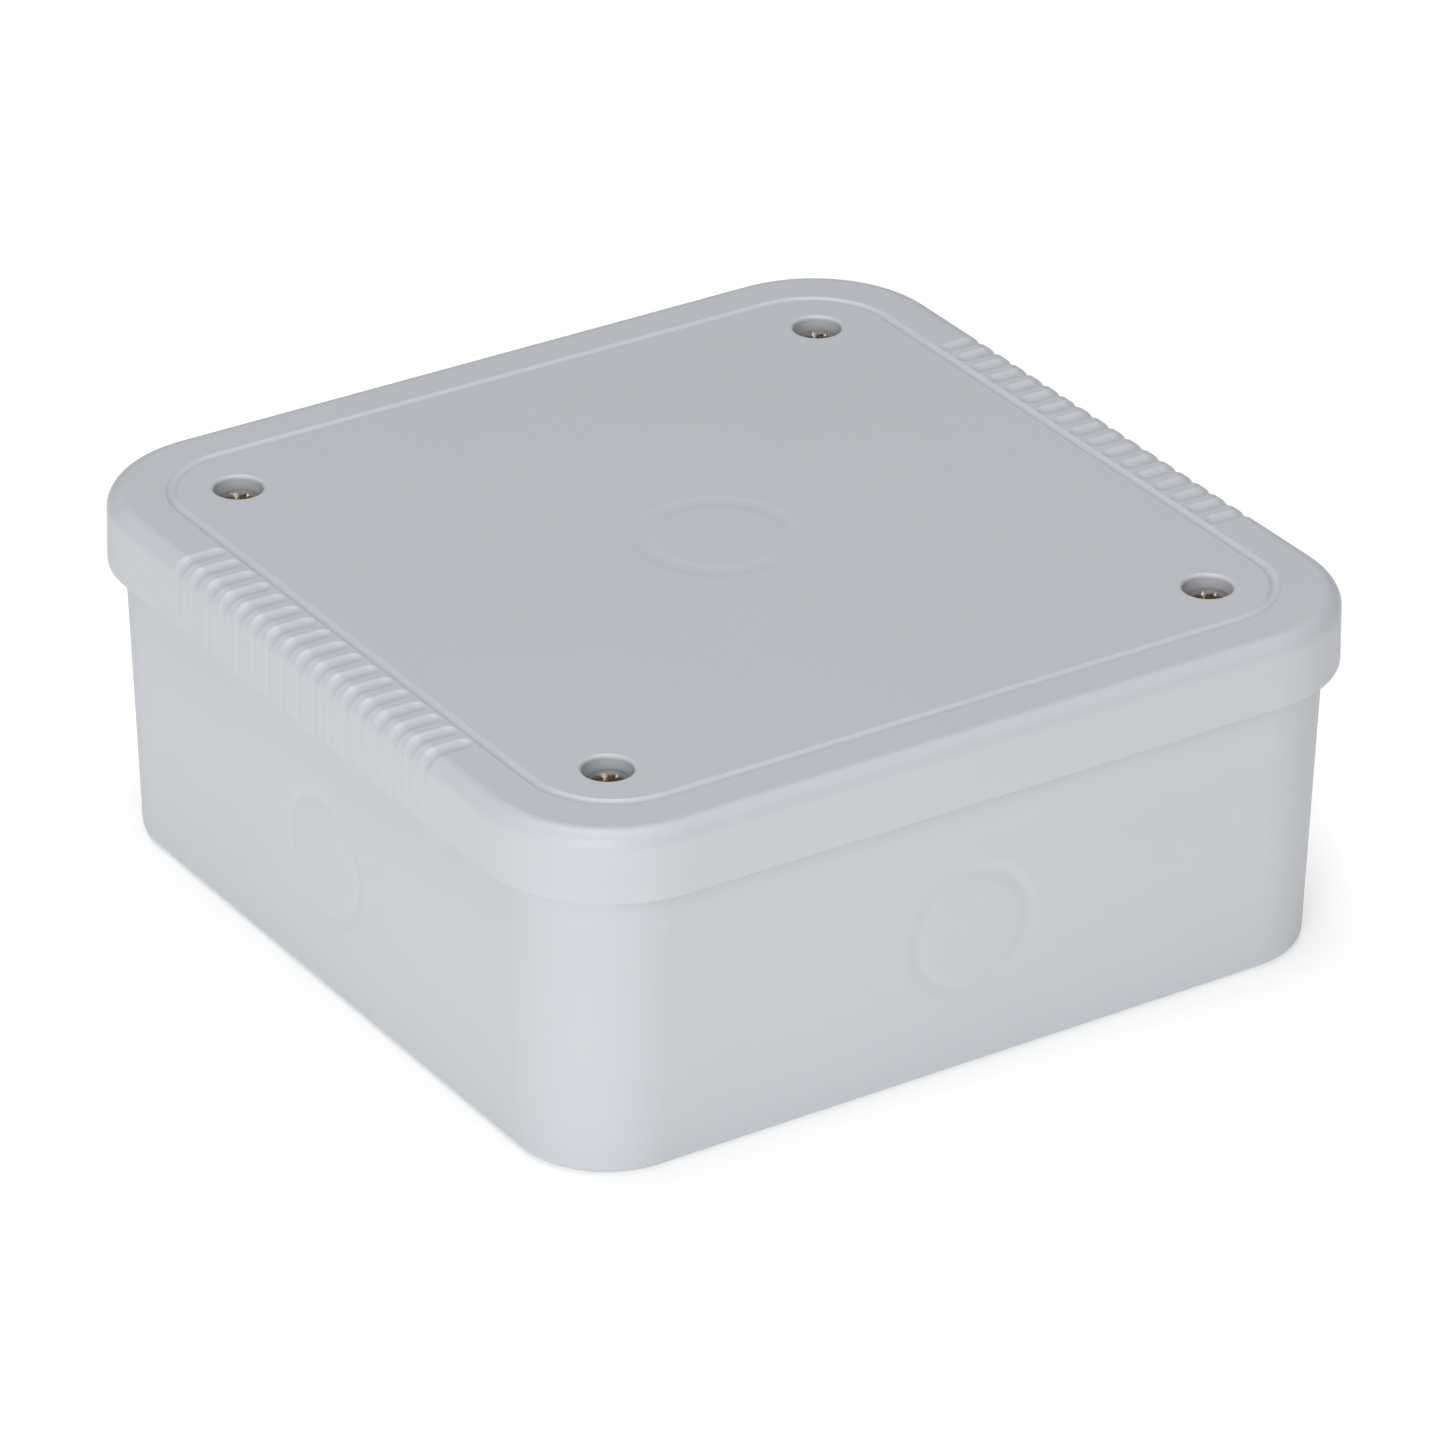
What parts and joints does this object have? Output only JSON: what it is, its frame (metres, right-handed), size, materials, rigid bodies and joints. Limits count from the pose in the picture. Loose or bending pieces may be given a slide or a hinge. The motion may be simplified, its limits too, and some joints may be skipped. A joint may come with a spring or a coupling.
{
  "type": "electrical junction box",
  "caption": "Square light-grey moulded junction box with a deep-skirted screw-down lid, grip flutes and round knock-outs, holding a clamp terminal block.",
  "frame": {"origin": "centre of the base's flat underside, which lies against the wall or table", "axes": "+Z out of the wall, through the lid; X runs across the two sides that have grip flutes; Y across the two plain sides"},
  "size_m": [0.15, 0.15, 0.0599],
  "materials": {
    "grey_shell": "fine satin moulded thermoplastic, light grey",
    "seal_rubber": "closed-cell foam rubber, black",
    "screw_steel": "bright zinc-plated steel",
    "insert_brass": "turned brass",
    "clamp_brass": "nickel-washed brass",
    "block_nylon": "natural white polyamide, matte"
  },
  "bodies": {
    "base": {"base_box": "grey_shell", "terminal_plate": "block_nylon", "terminal_housing": "block_nylon", "brass_insert_1": "insert_brass", "brass_insert_2": "insert_brass", "brass_insert_3": "insert_brass", "brass_insert_4": "insert_brass", "clamp_frame_1": "clamp_brass", "clamp_frame_2": "clamp_brass", "clamp_frame_3": "clamp_brass", "clamp_frame_4": "clamp_brass", "clamp_frame_5": "clamp_brass", "block_screw_1": "screw_steel", "block_screw_2": "screw_steel"},
    "lid": {"lid_cover": "grey_shell", "lid_gasket": "seal_rubber"},
    "lid_washer_1": {"captive_washer_1": "seal_rubber"},
    "lid_screw_1": {"lid_screw_1": "screw_steel"},
    "lid_washer_2": {"captive_washer_2": "seal_rubber"},
    "lid_screw_2": {"lid_screw_2": "screw_steel"},
    "lid_washer_3": {"captive_washer_3": "seal_rubber"},
    "lid_screw_3": {"lid_screw_3": "screw_steel"},
    "lid_washer_4": {"captive_washer_4": "seal_rubber"},
    "lid_screw_4": {"lid_screw_4": "screw_steel"},
    "clamp_plate_1": {"clamp_plate_1": "screw_steel"},
    "clamp_screw_1": {"clamp_screw_1": "screw_steel"},
    "clamp_plate_2": {"clamp_plate_2": "screw_steel"},
    "clamp_screw_2": {"clamp_screw_2": "screw_steel"},
    "clamp_plate_3": {"clamp_plate_3": "screw_steel"},
    "clamp_screw_3": {"clamp_screw_3": "screw_steel"},
    "clamp_plate_4": {"clamp_plate_4": "screw_steel"},
    "clamp_screw_4": {"clamp_screw_4": "screw_steel"},
    "clamp_plate_5": {"clamp_plate_5": "screw_steel"},
    "clamp_screw_5": {"clamp_screw_5": "screw_steel"}
  },
  "joints": [
    {"name": "lid_lift", "type": "slide", "parent": "base", "child": "lid", "axis": [0, 0, 1], "range_m": [0, 0.06]},
    {"name": "lid_screw_1_rise", "type": "slide", "parent": "lid", "child": "lid_washer_1", "axis": [0, 0, 1], "range_m": [0, 0.0084]},
    {"name": "lid_screw_1_turn", "type": "hinge", "parent": "lid_washer_1", "child": "lid_screw_1", "pos_m": [-0.054, -0.054, 0.0581], "axis": [0, 0, 1], "range_deg": [0, 4320]},
    {"name": "lid_screw_2_rise", "type": "slide", "parent": "lid", "child": "lid_washer_2", "axis": [0, 0, 1], "range_m": [0, 0.0084]},
    {"name": "lid_screw_2_turn", "type": "hinge", "parent": "lid_washer_2", "child": "lid_screw_2", "pos_m": [0.054, -0.054, 0.0581], "axis": [0, 0, 1], "range_deg": [0, 4320]},
    {"name": "lid_screw_3_rise", "type": "slide", "parent": "lid", "child": "lid_washer_3", "axis": [0, 0, 1], "range_m": [0, 0.0084]},
    {"name": "lid_screw_3_turn", "type": "hinge", "parent": "lid_washer_3", "child": "lid_screw_3", "pos_m": [0.054, 0.054, 0.0581], "axis": [0, 0, 1], "range_deg": [0, 4320]},
    {"name": "lid_screw_4_rise", "type": "slide", "parent": "lid", "child": "lid_washer_4", "axis": [0, 0, 1], "range_m": [0, 0.0084]},
    {"name": "lid_screw_4_turn", "type": "hinge", "parent": "lid_washer_4", "child": "lid_screw_4", "pos_m": [-0.054, 0.054, 0.0581], "axis": [0, 0, 1], "range_deg": [0, 4320]},
    {"name": "clamp_1_open", "type": "slide", "parent": "base", "child": "clamp_plate_1", "axis": [0, 0, 1], "range_m": [0, 0.0039]},
    {"name": "clamp_screw_1_turn", "type": "hinge", "parent": "clamp_plate_1", "child": "clamp_screw_1", "pos_m": [-0.021, 0, 0.0275], "axis": [0, 0, 1], "range_deg": [0, 2340]},
    {"name": "clamp_2_open", "type": "slide", "parent": "base", "child": "clamp_plate_2", "axis": [0, 0, 1], "range_m": [0, 0.0039]},
    {"name": "clamp_screw_2_turn", "type": "hinge", "parent": "clamp_plate_2", "child": "clamp_screw_2", "pos_m": [-0.0105, 0, 0.0275], "axis": [0, 0, 1], "range_deg": [0, 2340]},
    {"name": "clamp_3_open", "type": "slide", "parent": "base", "child": "clamp_plate_3", "axis": [0, 0, 1], "range_m": [0, 0.0039]},
    {"name": "clamp_screw_3_turn", "type": "hinge", "parent": "clamp_plate_3", "child": "clamp_screw_3", "pos_m": [0, 0, 0.0275], "axis": [0, 0, 1], "range_deg": [0, 2340]},
    {"name": "clamp_4_open", "type": "slide", "parent": "base", "child": "clamp_plate_4", "axis": [0, 0, 1], "range_m": [0, 0.0039]},
    {"name": "clamp_screw_4_turn", "type": "hinge", "parent": "clamp_plate_4", "child": "clamp_screw_4", "pos_m": [0.0105, 0, 0.0275], "axis": [0, 0, 1], "range_deg": [0, 2340]},
    {"name": "clamp_5_open", "type": "slide", "parent": "base", "child": "clamp_plate_5", "axis": [0, 0, 1], "range_m": [0, 0.0039]},
    {"name": "clamp_screw_5_turn", "type": "hinge", "parent": "clamp_plate_5", "child": "clamp_screw_5", "pos_m": [0.021, 0, 0.0275], "axis": [0, 0, 1], "range_deg": [0, 2340]}
  ],
  "couplings": [
    {"joint": "lid_screw_1_turn", "follows": "lid_screw_1_rise", "rad_per_m": 8976},
    {"joint": "lid_screw_2_turn", "follows": "lid_screw_2_rise", "rad_per_m": 8976},
    {"joint": "lid_screw_3_turn", "follows": "lid_screw_3_rise", "rad_per_m": 8976},
    {"joint": "lid_screw_4_turn", "follows": "lid_screw_4_rise", "rad_per_m": 8976},
    {"joint": "clamp_screw_1_turn", "follows": "clamp_1_open", "rad_per_m": 10472},
    {"joint": "clamp_screw_2_turn", "follows": "clamp_2_open", "rad_per_m": 10472},
    {"joint": "clamp_screw_3_turn", "follows": "clamp_3_open", "rad_per_m": 10472},
    {"joint": "clamp_screw_4_turn", "follows": "clamp_4_open", "rad_per_m": 10472},
    {"joint": "clamp_screw_5_turn", "follows": "clamp_5_open", "rad_per_m": 10472}
  ]
}
